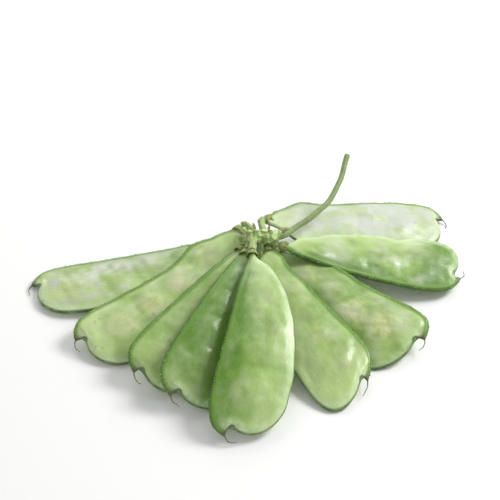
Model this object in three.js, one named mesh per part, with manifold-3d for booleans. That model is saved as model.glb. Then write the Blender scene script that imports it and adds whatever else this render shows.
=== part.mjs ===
// A picked cluster of hyacinth beans: nine flat pods fanned round the knobbly end of one cut flower stalk.
//
// Each pod is a thin lens with a straight, ribbed suture edge, a rounder belly edge, a row of seeds that
// swell its faces, and a hooked beak at the far corner. Its neck sits in a cup-shaped calyx at the end of a
// short branch of the stalk, and the dry thread of the old flower's style hangs off its beak. The pods lap
// over each other like tiles. The lowest ones are pressed flat where they lie on the surface.
//
// Units are millimetres and +Z is up. The fan opens towards -Y and its pods run from -X round to +X. The
// origin is on the surface that the cluster lies on, under the middle of its bounding box.

import * as THREE from "three";
import { ParametricGeometry } from "three/addons/geometries/ParametricGeometry.js";
import { mergeVertices } from "three/addons/utils/BufferGeometryUtils.js";
import Module from "manifold-3d";

// ---- driving dimensions ----

const POD_THICKNESS = 5.2; // through the middle of a pod, between its seeds
const NECK_THICKNESS = 2.2;
const BEAK_THICKNESS = 1.3;
const SEED_SWELL = 0.7; // how far a seed lifts each face
const SEED_LENGTH = 6.5; // along the pod, to where the swelling fades
const SEED_WIDTH = 5.5; // across it
const SEEDS = [0.24, 0.42, 0.6, 0.77]; // where they lie, as shares of the pod's length
const JOINT_GAP = 0.3; // between pieces that meet

const CALYX = { base: 1.2, waist: 1.6, rim: 2.4, wall: 0.45, depth: 2.2, floor: 0.7 };
const STYLE = { radius: 0.2, length: 5.5 };

const RACHIS = { length: 12, radius: 1.5, knot: 0.6 }; // the end of the stalk that bears the pods
const PEDUNCLE_RADIUS = 1.15; // the bare rest of the stalk
const PEDICEL = { radius: 0.85, knot: 0.55 }; // a pod's own branch, and how much its foot swells

// How each pod lies, clockwise from the left as seen from above. Looking from its neck to its tip: neck is
// where it starts, heading is in degrees from +X towards +Y, tip is how high its far end is, sag and bow are
// how far its middle hangs down and bends to the left, roll lifts its left edge, beak is 1 with the beak on
// its left and -1 with it on its right, slant is how much shorter the edge with the beak is, shoulder is
// how far that edge bulges near the neck, and branch is where its pedicel leaves the rachis.
const PODS = [
  {
    neck: [-10, 9.5, 15], heading: 195, length: 83, width: 30.5, tip: 2.6,
    sag: 1.8, bow: 0, roll: 0, beak: -1, slant: 0, shoulder: 0, branch: -4,
  },
  {
    neck: [-8.5, 9, 20.5], heading: 223, length: 80, width: 31, tip: 4,
    sag: 1.5, bow: 1.5, roll: -14, beak: -1, slant: 0, shoulder: 4, branch: -1.5,
  },
  {
    neck: [-8, -3.3, 20.2], heading: 239.7, length: 69, width: 30, tip: 4.8,
    sag: -0.7, bow: 0, roll: -22, beak: -1, slant: 0.08, shoulder: 0, branch: -5,
  },
  {
    neck: [-6.3, -8.2, 22.5], heading: 251.6, length: 69, width: 31, tip: 4.6,
    sag: -2.5, bow: 0, roll: -24, beak: -1, slant: 0.08, shoulder: 0, branch: -4,
  },
  {
    neck: [-4, -11.7, 25.1], heading: 267.5, length: 77.5, width: 30.5, tip: 3.5,
    sag: -5, bow: 1.5, roll: -9, beak: -1, slant: 0, shoulder: 0, branch: -3,
  },
  {
    neck: [1.5, -3, 19.5], heading: 297, length: 73, width: 30, tip: 3.6,
    sag: -0.5, bow: 0, roll: 8, beak: 1, slant: 0.27, shoulder: 0, branch: 0.5,
  },
  {
    neck: [5.5, 1.8, 14], heading: 316.2, length: 69, width: 36.5, tip: 4.8,
    sag: 0.5, bow: 0, roll: 16, beak: 1, slant: 0, shoulder: 0, branch: 3,
  },
  {
    neck: [7.2, -1.4, 20], heading: 3, length: 73.5, width: 29, tip: 6,
    sag: 2.5, bow: -1.5, roll: 8, beak: -1, slant: 0.12, shoulder: 0, branch: 5,
  },
  {
    neck: [1.5, 14.8, 20], heading: 11.3, length: 77.5, width: 31, tip: 2.4,
    sag: 0.5, bow: 4.5, roll: 5, beak: 1, slant: 0, shoulder: 4, branch: 2,
  },
];
const SURFACE = 1.3; // how high the surface that the pods lie on is in the figures above

// The two edges of a pod's outline, from its neck to the point of its beak, as shares of its length and its
// width. The same step along both gives one line across the pod.
const SUTURE_EDGE = outline([
  [0, 0.035], [0.045, 0.05], [0.13, 0.115], [0.26, 0.19], [0.42, 0.265], [0.6, 0.345], [0.76, 0.41],
  [0.87, 0.435], [0.93, 0.415], [0.962, 0.375], [0.982, 0.325], [0.995, 0.275], [1.006, 0.22],
]);
const BELLY_EDGE = outline([
  [0, -0.035], [0.04, -0.052], [0.11, -0.22], [0.24, -0.39], [0.4, -0.49], [0.58, -0.53], [0.76, -0.51],
  [0.89, -0.42], [0.962, -0.25], [0.986, -0.03], [0.972, 0.12], [0.967, 0.185], [0.998, 0.205],
]);

// The rachis lies along X. The peduncle leaves its +X end, and points away from the fan.
const RACHIS_HEIGHT = 24;
const RACHIS_Y = -1.4;
const PEDUNCLE = [[8.5, 0.5, 24], [14, 6.2, 24], [20.9, 12.8, 24.3], [26.5, 19.8, 25.3], [31.6, 30.5, 28], [35, 42, 32]];
// Where pods were pulled off, the foot of each one's pedicel is left as a stub.
const STUBS = [
  { foot: 3, end: [4.6, -3.6, 26.6], radius: 1.35 },
  { foot: -4.5, end: [-4.9, -4.6, 26], radius: 1.05 },
];

const POD_ROWS = 24;
const POD_SIDES = 12;

const MATERIALS = {
  pod: new THREE.MeshStandardMaterial({ color: 0x9dbb70, roughness: 0.45, metalness: 0 }),
  stalk: new THREE.MeshStandardMaterial({ color: 0x8fa468, roughness: 0.6, metalness: 0 }),
  calyx: new THREE.MeshStandardMaterial({ color: 0x8a8f55, roughness: 0.75, metalness: 0 }),
  style: new THREE.MeshStandardMaterial({ color: 0x5d6136, roughness: 0.8, metalness: 0 }),
};

const { lerp, smoothstep, degToRad } = THREE.MathUtils;
const vector = ([x, y, z = 0]) => new THREE.Vector3(x, y, z);

// ---- shapes ----

function outline(points) {
  return new THREE.CatmullRomCurve3(points.map(([x, y]) => new THREE.Vector3(x, y, 0)), false, "centripetal");
}

// A surface of rings, closed by a point in the middle of each end. ring(row, angle, target) places a point.
function closedRings(rows, sides, ring, endPoint) {
  const steps = rows + 1;
  return new ParametricGeometry((u, v, target) => {
    const step = Math.round(v * steps);
    if (step === 0 || step === steps) endPoint(step === 0 ? 0 : rows - 1, target);
    else ring(step - 1, 2 * Math.PI * (Math.round(u * sides) % sides) / sides, target);
  }, sides, steps);
}

// A round bar along a curve, whose radius is radiusAt(share of its length).
function bar(curve, steps, sides, radiusAt) {
  const frames = curve.computeFrenetFrames(steps, false);
  const centre = (row) => curve.getPointAt(row / steps);
  return closedRings(
    steps + 1,
    sides,
    (row, angle, target) => {
      const radius = radiusAt(row / steps);
      target.copy(centre(row));
      target.addScaledVector(frames.normals[row], radius * Math.cos(angle));
      target.addScaledVector(frames.binormals[row], radius * Math.sin(angle));
    },
    (row, target) => target.copy(centre(row)),
  );
}

// ---- a pod ----

// A pod's own space, bent to how the pod lies: along it, across it to the left, and up from its middle.
class Pod {
  constructor(spec) {
    Object.assign(this, spec);
    this.start = vector(spec.neck);
    this.drop = this.start.z - spec.tip;
    this.reach = Math.sqrt(spec.length ** 2 - this.drop ** 2);
    const turn = degToRad(spec.heading);
    this.forward = new THREE.Vector3(Math.cos(turn), Math.sin(turn), 0);
    this.left = new THREE.Vector3(-Math.sin(turn), Math.cos(turn), 0);
  }

  // The middle line's point and directions at a share of the pod's length.
  frame(share) {
    const bend = 4 * share * (1 - share);
    const turn = 4 * (1 - 2 * share);
    const point = this.start.clone().addScaledVector(this.forward, this.reach * share);
    point.addScaledVector(this.left, this.bow * bend);
    point.z -= this.drop * share + this.sag * bend;
    const along = this.forward.clone().multiplyScalar(this.reach).addScaledVector(this.left, this.bow * turn);
    along.setZ(-this.drop - this.sag * turn).normalize();
    const roll = degToRad(this.roll) * smoothstep(share, 0, 0.3);
    const left = this.left.clone().addScaledVector(along, -this.left.dot(along)).normalize();
    left.applyAxisAngle(along, roll);
    return { point, along, left, up: along.clone().cross(left) };
  }

  // Puts target at a place in the pod, across in millimetres towards its left. The surface flattens the pod.
  place(share, across, up, target) {
    const frame = this.frame(share);
    target.copy(frame.point).addScaledVector(frame.left, across).addScaledVector(frame.up, up);
    return target.setZ(Math.max(target.z, SURFACE));
  }

  edges(row) {
    const step = row / (POD_ROWS - 1);
    const suture = SUTURE_EDGE.getPoint(step);
    suture.y += this.shoulder / this.width * Math.exp(-(((suture.x - 0.22) / 0.11) ** 2));
    return [suture, BELLY_EDGE.getPoint(step)];
  }

  thickness(row) {
    const share = row / (POD_ROWS - 1);
    const body = lerp(NECK_THICKNESS, POD_THICKNESS, smoothstep(share, 0.08, 0.5));
    return lerp(body, BEAK_THICKNESS, smoothstep(share, 0.6, 0.95)) * (share === 1 ? 0.5 : 1);
  }

  swelling(share, across) {
    return Math.max(...SEEDS.map((seed) => {
      const away = ((share - seed) * this.length / SEED_LENGTH) ** 2 + (across / SEED_WIDTH) ** 2;
      return SEED_SWELL * Math.exp(-away);
    }));
  }

  // side is 1 on the suture edge and -1 on the belly edge.
  spot(row, side, up, target) {
    const [suture, belly] = this.edges(row);
    const { x, y } = belly.lerp(suture, (1 + side) / 2);
    const share = x - this.slant * y * smoothstep(x, 0.4, 1);
    const across = y * this.width;
    return this.place(share, across * this.beak, up + Math.sign(up) * this.swelling(share, across), target);
  }

  body() {
    return closedRings(
      POD_ROWS,
      POD_SIDES,
      (row, angle, target) => {
        const rise = Math.sin(angle) * this.thickness(row) / 2 * this.beak;
        this.spot(row, Math.cos(angle), Math.abs(rise) < 1e-6 ? 0 : rise, target);
      },
      (row, target) => this.spot(row, 0, 0, target),
    );
  }

  // A cup round the neck, with its mouth towards the pod.
  calyx() {
    const { base, waist, rim, wall, depth, floor } = CALYX;
    const inside = -JOINT_GAP;
    const cup = new THREE.LatheGeometry(
      [
        [0, inside - floor], [base, inside - floor], [waist + wall, inside + 0.4], [rim, depth],
        [rim - wall, depth], [waist, inside + 0.5], [base, inside], [0, inside],
      ].map(([x, y]) => new THREE.Vector2(x, y)),
      12,
    );
    const { point, along, left, up } = this.frame(0);
    return cup.applyMatrix4(new THREE.Matrix4().makeBasis(left, along, up.negate()).setPosition(point));
  }

  // The pedicel's end, just short of the calyx, and the point that it runs in from.
  mouth() {
    const { point, along } = this.frame(0);
    const end = point.addScaledVector(along, -2 * JOINT_GAP - CALYX.floor);
    return { end, before: end.clone().addScaledVector(along, -2.5) };
  }

  // A dry thread that leaves the beak and bends back along the pod's end.
  style() {
    const tip = SUTURE_EDGE.getPoint(1).lerp(BELLY_EDGE.getPoint(1), 0.5);
    const turn = STYLE.length / this.width;
    const route = [[0.009, 0], [0.02, -0.2], [0.024, -0.55], [0.017, -1]].map(([x, y], step) => {
      const across = tip.y + y * turn;
      const share = tip.x + x - this.slant * across;
      const spot = this.place(share, across * this.width * this.beak, 0, new THREE.Vector3());
      return spot.setZ(Math.max(spot.z - 0.3 * step, SURFACE + STYLE.radius * 1.5));
    });
    return bar(new THREE.CatmullRomCurve3(route), 8, 6, (share) => STYLE.radius * (1.1 - 0.4 * share));
  }
}

// ---- the stalk ----

const wasm = await Module();
wasm.setup();

function solid(geometry) {
  const bare = new THREE.BufferGeometry().setAttribute("position", geometry.getAttribute("position"));
  const merged = mergeVertices(bare.setIndex(geometry.getIndex()), 1e-4);
  const position = merged.getAttribute("position").array;
  const index = [];
  for (let i = 0; i < merged.index.count; i += 3) {
    const [a, b, c] = [0, 1, 2].map((corner) => merged.index.getX(i + corner));
    if (a !== b && b !== c && c !== a) index.push(a, b, c);
  }
  return new wasm.Manifold(new wasm.Mesh({
    numProp: 3, vertProperties: position, triVerts: new Uint32Array(index),
  }));
}

function geometryOf(manifold) {
  const { numProp, vertProperties, triVerts } = manifold.getMesh();
  const corners = Array.from(vertProperties).filter((_, i) => i % numProp < 3);
  const geometry = new THREE.BufferGeometry();
  geometry.setAttribute("position", new THREE.Float32BufferAttribute(corners, 3));
  geometry.setIndex(Array.from(triVerts));
  geometry.computeVertexNormals();
  return geometry;
}

// The stalk grew as one piece: peduncle, rachis, pedicels and stubs.
function stalkGeometry(pods) {
  const onRachis = (x) => new THREE.Vector3(x, RACHIS_Y + 0.05 * x, RACHIS_HEIGHT);
  const half = RACHIS.length / 2;
  const knots = [-0.8, -0.35, 0.1, 0.55].map((share) => share * half);
  const spine = new THREE.CatmullRomCurve3([-half, -half / 2, 0, half / 2, half].map(onRachis));
  const parts = [bar(spine, 24, 12, (share) => {
    const x = (2 * share - 1) * half;
    const swell = knots.reduce((sum, knot) => sum + Math.exp(-(((x - knot) / 0.9) ** 2)), 0);
    return (RACHIS.radius + RACHIS.knot * swell) * (0.75 + 0.25 * Math.sin(Math.PI * share));
  })];

  const peduncle = new THREE.CatmullRomCurve3([onRachis(half - 2), ...PEDUNCLE.map(vector)]);
  parts.push(bar(peduncle, 30, 10, () => PEDUNCLE_RADIUS));

  for (const pod of pods) {
    const foot = onRachis(pod.branch);
    const { end, before } = pod.mouth();
    const out = before.clone().sub(foot).setLength(1.5);
    const curve = new THREE.CubicBezierCurve3(foot, foot.clone().add(out), before, end);
    parts.push(bar(curve, 8, 8, (share) => PEDICEL.radius + PEDICEL.knot * Math.exp(-share * 5)));
  }
  for (const stub of STUBS) {
    parts.push(bar(new THREE.LineCurve3(onRachis(stub.foot), vector(stub.end)), 3, 8, () => stub.radius));
  }
  return geometryOf(parts.map(solid).reduce((whole, part) => whole.add(part)));
}

// ---- the cluster ----

function named(name, geometry, material) {
  const mesh = new THREE.Mesh(geometry, material);
  mesh.name = name;
  return mesh;
}

function buildCluster() {
  const cluster = new THREE.Group();
  const pods = PODS.map((spec) => new Pod(spec));
  cluster.add(named("stalk", stalkGeometry(pods), MATERIALS.stalk));
  pods.forEach((pod, index) => {
    const number = index + 1;
    cluster.add(named(`calyx_${number}`, pod.calyx(), MATERIALS.calyx));
    cluster.add(named(`pod_${number}`, pod.body(), MATERIALS.pod));
    cluster.add(named(`style_${number}`, pod.style(), MATERIALS.style));
  });
  return cluster;
}

const cluster = buildCluster();
const box = new THREE.Box3().setFromObject(cluster, true);
const middle = box.getCenter(new THREE.Vector3());
cluster.position.set(-middle.x, -middle.y, -box.min.z);

const group = new THREE.Group();
group.add(cluster);

export default group;
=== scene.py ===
"""A picked cluster of hyacinth beans: nine flat green pods fanned round the knobbly end of a cut flower stalk.

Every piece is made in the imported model's frame, in metres. Sizes below are in millimetres, and are turned
into metres when a mesh is made.
"""

import math

import bmesh
import bpy
import numpy as np
from bpy.props import FloatProperty, FloatVectorProperty, IntProperty, PointerProperty
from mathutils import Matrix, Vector


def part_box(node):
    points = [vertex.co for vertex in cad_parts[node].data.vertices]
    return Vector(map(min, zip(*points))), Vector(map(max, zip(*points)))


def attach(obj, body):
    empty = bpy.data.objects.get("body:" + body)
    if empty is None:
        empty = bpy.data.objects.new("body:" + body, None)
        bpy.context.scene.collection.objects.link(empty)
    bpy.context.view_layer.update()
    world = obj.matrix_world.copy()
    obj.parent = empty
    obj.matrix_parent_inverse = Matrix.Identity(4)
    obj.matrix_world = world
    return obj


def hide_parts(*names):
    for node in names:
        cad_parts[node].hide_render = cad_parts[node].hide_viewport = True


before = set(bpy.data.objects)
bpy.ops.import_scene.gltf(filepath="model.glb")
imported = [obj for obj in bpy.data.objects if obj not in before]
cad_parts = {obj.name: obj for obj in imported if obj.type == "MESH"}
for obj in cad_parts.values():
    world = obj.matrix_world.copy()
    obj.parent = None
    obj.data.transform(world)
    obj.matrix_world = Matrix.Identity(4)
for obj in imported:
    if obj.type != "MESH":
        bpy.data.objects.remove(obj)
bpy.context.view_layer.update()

bl_info = {
    "name": "Hyacinth bean pod cluster",
    "version": (1, 0, 0),
    "blender": (4, 5, 0),
    "location": "3D View > Sidebar > Hyacinth beans",
    "description": "Makes a picked cluster of hyacinth beans round its packed frame",
    "category": "Add Mesh",
}

MM = 0.001
BODY = "root"

# ---- the cluster's layout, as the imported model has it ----

SURFACE = 1.3  # height of the surface that the pods lie on
NECK_THICKNESS = 2.2
POD_THICKNESS = 5.2
BEAK_THICKNESS = 1.3
CALYX_FLOOR = 0.7
JOINT_GAP = 0.3
CALYX_DEPTH = 2.2
STYLE_LENGTH = 5.5
STYLE_RADIUS = 0.2
RACHIS_HALF = 6.0
RACHIS_RADIUS = 1.5
RACHIS_KNOT = 0.6
RACHIS_KNOTS = (-4.8, -2.1, 0.6, 3.3)
PEDUNCLE_RADIUS = 1.15
PEDICEL_RADIUS = 0.85
PEDICEL_FOOT = 0.55
PEDUNCLE = [(8.5, 0.5, 24), (14, 6.2, 24), (20.9, 12.8, 24.3), (26.5, 19.8, 25.3), (31.6, 30.5, 28), (35, 42, 32)]
STUBS = [(3, (4.6, -3.6, 26.6), 1.35), (-4.5, (-4.9, -4.6, 26), 1.05)]

# The two edges of a pod's outline, from its neck to its beak, as shares of its length and width.
SUTURE_EDGE = [
    (0, 0.035), (0.045, 0.05), (0.13, 0.115), (0.26, 0.19), (0.42, 0.265), (0.6, 0.345), (0.76, 0.41),
    (0.87, 0.435), (0.93, 0.415), (0.962, 0.375), (0.982, 0.325), (0.995, 0.275), (1.006, 0.22),
]
BELLY_EDGE = [
    (0, -0.035), (0.04, -0.052), (0.11, -0.22), (0.24, -0.39), (0.4, -0.49), (0.58, -0.53), (0.76, -0.51),
    (0.89, -0.42), (0.962, -0.25), (0.986, -0.03), (0.972, 0.12), (0.967, 0.185), (0.998, 0.205),
]

# Each pod's lie, its form and then its looks. seeds are (share of the length, millimetres towards the suture
# edge, swelling, half length, half width). dips are (share, depth, half width as a share) where the belly edge
# draws in. neck_full is how full the neck is, and lap and belly_lap are how far the suture edge and the belly
# edge run on under the next pod. deep, pale, cream and wax say how dark, pale, creamy and waxy the skin is; a high
# deep can hold painted shade, and a wax above 1 paints a sheen over the whole pod. belly is how much paler the
# belly side is, and a negative belly paints shade on a belly side that the next pod covers. end is how much painted
# light pales the end, and a negative end deepens the end's green instead.
PODS = [
    dict(neck=(-10, 9.5, 15), heading=195, length=83, width=30.5, tip=2.6, sag=1.8, roll=0, beak=-1,
         branch=-4,
         seeds=[(0.25, 0, 0.6, 6, 5), (0.43, 0.5, 0.8, 7, 5.5), (0.61, 0, 0.7, 6.5, 6), (0.79, -0.5, 0.9, 8, 7)],
         deep=0.35, pale=0.5, cream=0.3, wax=1.1, belly=1.0, end=1.0),
    dict(neck=(-8.5, 9, 20.5), heading=223, length=80, width=31, tip=4, sag=1.5, bow=1.5, roll=-14,
         beak=-1, shoulder=4, branch=-1.5,
         seeds=[(0.24, 1, 0.5, 6, 5), (0.42, 0, 0.8, 6.5, 5.5), (0.6, -0.5, 0.75, 6.5, 6), (0.77, 0, 0.95, 7, 6.5)],
         neck_full=1.4,
         # the negative belly paints shade on the belly edge that pod 3 lies over
         deep=0.1, pale=1.05, cream=0.9, wax=0.35, belly=-0.3, end=0.95),
    dict(neck=(-8, -3.3, 20.2), heading=239.7, length=69, width=30, tip=4.8, sag=-0.7, roll=-22,
         beak=-1, slant=0.08, branch=-5,
         seeds=[(0.26, 0, 0.6, 6, 5), (0.43, 1, 0.75, 6, 5), (0.6, 0.5, 0.7, 6.5, 5.5), (0.78, 1, 0.85, 6.5, 6)],
         neck_full=0.4,
         deep=0.3, pale=0.7, cream=0.3, wax=0.25, belly=0.0, end=0.4),
    dict(neck=(-6.3, -8.2, 22.5), heading=251.6, length=69, width=31, tip=4.6, sag=-2.5, roll=-24,
         beak=-1, slant=0.08, branch=-4,
         seeds=[(0.24, 0, 0.6, 5.5, 5), (0.41, 1.5, 0.8, 6, 5), (0.6, 1, 0.8, 6.5, 6), (0.78, 0.5, 0.8, 7, 6)],
         neck_full=0.5,
         # pod 4 lies in pod 5's shadow: its high deep and its negative belly are painted shade
         deep=1.25, pale=0.15, cream=0.1, wax=0.25, belly=-0.8, end=1.0),
    dict(neck=(-4, -11.7, 25.1), heading=267.5, length=77.5, width=30.5, tip=3.5, sag=-5, bow=1.5,
         roll=-9, beak=-1, branch=-3,
         seeds=[(0.24, -1, 0.55, 6.5, 5), (0.41, 0, 0.7, 6.5, 5.5), (0.6, 0.5, 0.75, 7, 6), (0.78, 0, 0.8, 7, 7)],
         neck_full=0.1,
         deep=0.6, pale=0.22, cream=0.12, wax=0.25, belly=0.95, end=0.25),
    dict(neck=(1.5, -3, 19.5), heading=297, length=73, width=30, tip=3.6, sag=-0.5, roll=8, beak=1,
         slant=0.27, branch=0.5,
         seeds=[(0.27, 0, 0.6, 6, 5), (0.45, 0, 0.8, 6.5, 5.5), (0.62, 0, 0.8, 6.5, 5.5), (0.78, -1, 0.8, 7, 6)],
         neck_full=2.2,
         deep=0.3, pale=0.8, cream=0.35, wax=0.3, belly=0.15, end=0.75),
    dict(neck=(5.5, 1.8, 14), heading=316.2, length=69, width=36.5, tip=4.8, sag=0.5, roll=16, beak=1,
         branch=3,
         seeds=[(0.25, 0, 0.6, 6, 5), (0.43, 1, 0.8, 6, 5.5), (0.61, -1, 0.85, 6.5, 6), (0.78, 1, 0.95, 7, 7)],
         neck_full=0.9, lap=0.75,
         # the negative belly paints shade on the belly side that pod 6 covers
         deep=0.4, pale=0.75, cream=0.8, wax=0.4, belly=-0.6, end=0.5),
    dict(neck=(7.2, -1.4, 20), heading=3, length=73.5, width=29, tip=6, sag=2.5, bow=-1.5, roll=8,
         beak=-1, slant=0.12, branch=5,
         seeds=[(0.22, 0, 0.5, 6, 5), (0.38, 0, 0.7, 6, 5), (0.56, 0.5, 0.8, 6, 5.5), (0.83, -2, 0.75, 8, 8)],
         dips=[(0.66, 1.7, 0.06)], neck_full=0.8,
         deep=0.6, pale=0.45, cream=0.15, wax=0.8, belly=1.0, end=-1.3),
    dict(neck=(1.5, 14.8, 20), heading=11.3, length=77.5, width=31, tip=2.4, sag=0.5, bow=4.5, roll=5,
         beak=1, shoulder=4, branch=2,
         seeds=[(0.24, 0, 0.5, 6, 5), (0.42, 0, 0.7, 7, 6), (0.6, 1, 0.8, 7, 6), (0.78, 0, 0.9, 7.5, 7)],
         neck_full=1.5, belly_lap=1.65,
         # pod 9's wax above 1 paints a sheen over the whole pod, on top of its bloom
         deep=0.0, pale=0.55, cream=0.3, wax=1.38, belly=0.3, end=0.1),
]

CAMERA_TARGET = (-4.8, 7.9, 10)
CAMERA_DISTANCE = 520
CAMERA_ELEVATION = math.radians(40)
CAMERA_LENS = 93.6


def colour(red, green, blue):
    """A colour given as a screen shows it, made linear."""
    shares = (channel / 255 for channel in (red, green, blue))
    return tuple(s / 12.92 if s <= 0.04045 else ((s + 0.055) / 1.055) ** 2.4 for s in shares)


def smooth(value, low, high):
    """0 below low, 1 above high, and an even S between them."""
    share = np.clip((np.asarray(value, float) - low) / (high - low), 0, 1)
    return share * share * (3 - 2 * share)


def hump(value, middle, spread):
    return np.exp(-(((value - middle) / spread) ** 2))


def unit(vectors):
    return vectors / np.linalg.norm(vectors, axis=-1, keepdims=True)


def ripple(seed, length, *coordinates):
    """A smooth random field of about -1 to 1, whose waves are about length long."""
    draw = np.random.default_rng(seed)
    total = 0
    waves = 12
    for _ in range(waves):
        direction = unit(draw.normal(size=len(coordinates)))
        turn = 2 * math.pi / (length * draw.uniform(0.65, 1.7))
        phase = draw.uniform(0, 2 * math.pi)
        total = total + np.sin(phase + turn * sum(d * c for d, c in zip(direction, coordinates)))
    return total / math.sqrt(waves)


def through(points, share):
    """Points on a centripetal Catmull-Rom curve through the given ones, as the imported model's curves run."""
    points = np.asarray(points, float)
    last = len(points) - 1
    place = np.clip(np.asarray(share, float), 0, 1) * last
    first = np.minimum(place.astype(int), last - 1)
    part = (place - first)[:, None]
    around = np.vstack([2 * points[0] - points[1], points, 2 * points[-1] - points[-2]])
    a, b, c, d = (around[first + step] for step in range(4))
    gaps = [np.maximum(np.sum((end - start) ** 2, axis=1, keepdims=True) ** 0.25, 1e-4)
            for start, end in ((a, b), (b, c), (c, d))]
    leave = ((b - a) / gaps[0] - (c - a) / (gaps[0] + gaps[1]) + (c - b) / gaps[1]) * gaps[1]
    arrive = ((c - b) / gaps[1] - (d - b) / (gaps[1] + gaps[2]) + (d - c) / gaps[2]) * gaps[1]
    return (b + leave * part + (3 * c - 3 * b - 2 * leave - arrive) * part ** 2
            + (2 * b - 2 * c + leave + arrive) * part ** 3)


def evenly(path, count):
    """count points spaced evenly along a path of many points."""
    run = np.concatenate([[0], np.cumsum(np.linalg.norm(np.diff(path, axis=0), axis=1))])
    wanted = np.linspace(0, run[-1], count)
    return np.stack([np.interp(wanted, run, path[:, axis]) for axis in range(path.shape[1])], axis=1)


def distance_to(path, x, y):
    """How far points in a plane are from a path in it."""
    nearest = np.full(x.shape, 1e9)
    for start, end in zip(path[:-1], path[1:]):
        run = end - start
        size = max(float(run @ run), 1e-12)
        share = np.clip(((x - start[0]) * run[0] + (y - start[1]) * run[1]) / size, 0, 1)
        away = (x - start[0] - share * run[0]) ** 2 + (y - start[1] - share * run[1]) ** 2
        np.minimum(nearest, away, out=nearest)
    return np.sqrt(nearest)


class Pod:
    """A pod's own space, bent to how it lies: along it, across it to the left, and up from its middle."""

    bow = slant = shoulder = neck_full = lap = belly_lap = 0.0
    dips = ()

    def __init__(self, number, spec):
        self.number = number
        self.__dict__.update(spec)
        self.start = np.array(self.neck, float)
        self.drop = self.start[2] - self.tip
        self.reach = math.sqrt(self.length ** 2 - self.drop ** 2)
        turn = math.radians(self.heading)
        self.forward = np.array([math.cos(turn), math.sin(turn), 0])
        self.left = np.array([-math.sin(turn), math.cos(turn), 0])

    def frame(self, share):
        """The middle line's points and directions."""
        share = np.asarray(share, float)[..., None]
        bend, turn = 4 * share * (1 - share), 4 * (1 - 2 * share)
        down = np.array([0, 0, -1.0])
        point = (self.start + self.forward * self.reach * share + self.left * self.bow * bend
                 + down * (self.drop * share + self.sag * bend))
        along = unit(self.forward * self.reach + self.left * self.bow * turn
                     + down * (self.drop + self.sag * turn))
        side = unit(self.left - along * np.sum(along * self.left, axis=-1, keepdims=True))
        roll = math.radians(self.roll) * smooth(share, 0, 0.3)
        side = side * np.cos(roll) + np.cross(along, side) * np.sin(roll)
        return point, along, side, np.cross(along, side)

    def place(self, share, across, up):
        """Points of the pod's space. The surface below flattens the pod."""
        point, _, side, above = self.frame(share)
        spot = point + side * np.asarray(across)[..., None] + above * np.asarray(up)[..., None]
        spot[..., 2] = np.maximum(spot[..., 2], SURFACE)
        return spot

    def edges(self, step):
        suture, belly = through(SUTURE_EDGE, step), through(BELLY_EDGE, step)
        suture[:, 1] += self.shoulder / self.width * hump(suture[:, 0], 0.22, 0.11)
        return suture, belly

    def full_edges(self, step):
        """The edges with the neck's own fullness and a round notch beside the beak."""
        suture, belly = self.edges(step)
        suture[:, 1] += 0.035 * self.neck_full * hump(suture[:, 0], 0.075, 0.055)
        belly[:, 1] -= 0.06 * self.neck_full * hump(belly[:, 0], 0.085, 0.06)
        suture[:, 1] += 0.11 * self.lap * hump(suture[:, 0], 0.28, 0.19)
        belly[:, 1] -= 0.1 * self.belly_lap * hump(belly[:, 0], 0.13, 0.12)
        belly += hump(step, 0.885, 0.05)[:, None] * np.array([-0.004, -0.03])
        return suture, belly

    def thickness(self, step):
        middle = NECK_THICKNESS + (POD_THICKNESS - NECK_THICKNESS) * smooth(step, 0.08, 0.5)
        whole = middle + (BEAK_THICKNESS - middle) * smooth(step, 0.6, 0.95)
        return np.where(step >= 1, 0.5 * whole, whole)

    def steps(self, count):
        """Rows spaced by how far apart they are on the pod."""
        fine = np.linspace(0, 1, 900)
        suture, belly = self.edges(fine)
        size = np.array([self.length, self.width])
        apart = sum(np.linalg.norm(np.diff(edge * size, axis=0), axis=1) for edge in (suture, belly))
        run = np.concatenate([[0], np.cumsum(apart)])
        return np.interp(np.linspace(0, run[-1], count), run, fine)

    def row_width(self, step):
        suture, belly = self.edges(step)
        return np.linalg.norm((suture - belly) * np.array([self.length, self.width]), axis=1)

    def surface(self, step, angle, shape):
        """The skin at rows of steps and angles round them, 0 at the suture edge and pi at the belly edge.
        shape holds the skin's sizes. Returns the points and what the skin's colours follow."""
        suture, belly = self.full_edges(step)
        side = np.cos(angle)[None, :]
        face = np.sign(np.where(np.abs(np.sin(angle)) < 1e-9, 0, np.sin(angle)))[None, :]
        mixed = (1 + side[..., None]) / 2
        flat = belly[:, None, :] * (1 - mixed) + suture[:, None, :] * mixed
        # near the beak a row bends back towards the neck, so that the notch beside the beak stays open
        flat[..., 0] -= 0.022 * (1 - side ** 2) * hump(step, 0.765, 0.075)[:, None]
        share = flat[..., 0] - self.slant * flat[..., 1] * smooth(flat[..., 0], 0.4, 1)
        across = flat[..., 1] * self.width
        size = np.array([self.length, self.width])
        x, y = flat[..., 0] * self.length, flat[..., 1] * self.width
        fine = np.linspace(0, 1, 160)
        to_suture, to_belly = (distance_to(edge * size, x, y) for edge in self.full_edges(fine))
        rim = np.minimum(to_suture, to_belly)
        beak = (np.array(SUTURE_EDGE[-1]) + np.array(BELLY_EDGE[-1])) / 2 * size
        to_beak = np.hypot(x - beak[0], y - beak[1])
        body = smooth(share, 0.04, 0.16) * smooth(to_beak, 0.4, 3.0)

        # the outline's own unevenness
        seed = 100 * self.number
        wave = shape.edge_wave * body
        across = across + wave * 0.7 * ripple(seed + 1, 9, x) * ((1 + side) / 2) ** 3
        across = across + wave * ripple(seed + 2, 13, x) * ((1 - side) / 2) ** 3
        for middle, depth, spread in self.dips:
            across = across + depth * hump(share, middle, spread) * ((1 - side) / 2) ** 2

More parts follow.
